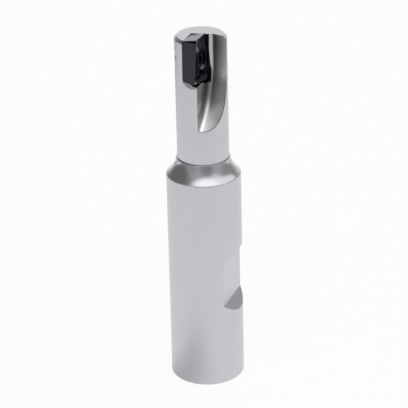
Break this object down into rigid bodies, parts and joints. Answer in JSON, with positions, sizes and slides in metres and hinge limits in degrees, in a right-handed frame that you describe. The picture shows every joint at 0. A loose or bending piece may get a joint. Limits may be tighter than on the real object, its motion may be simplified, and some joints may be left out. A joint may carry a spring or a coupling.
{
  "type": "indexable end mill",
  "caption": "Slim indexable end mill: a stepped steel body with a side-lock shank, a flared neck and a chip gullet, and a screwed-on carbide insert.",
  "frame": {"origin": "centre of the shank's flat end face, on the tool's axis", "axes": "+Z along the tool's axis towards the cutting end, +X the outward normal of the clamping flat"},
  "size_m": [0.016, 0.016, 0.08],
  "materials": {
    "body_steel": "satin ground steel",
    "coated_carbide": "dark hard-coated cemented carbide",
    "screw_steel": "dark hardened screw steel"
  },
  "bodies": {
    "root": {"cutter_body": "body_steel", "cutting_insert": "coated_carbide", "insert_screw": "screw_steel"}
  },
  "joints": []
}
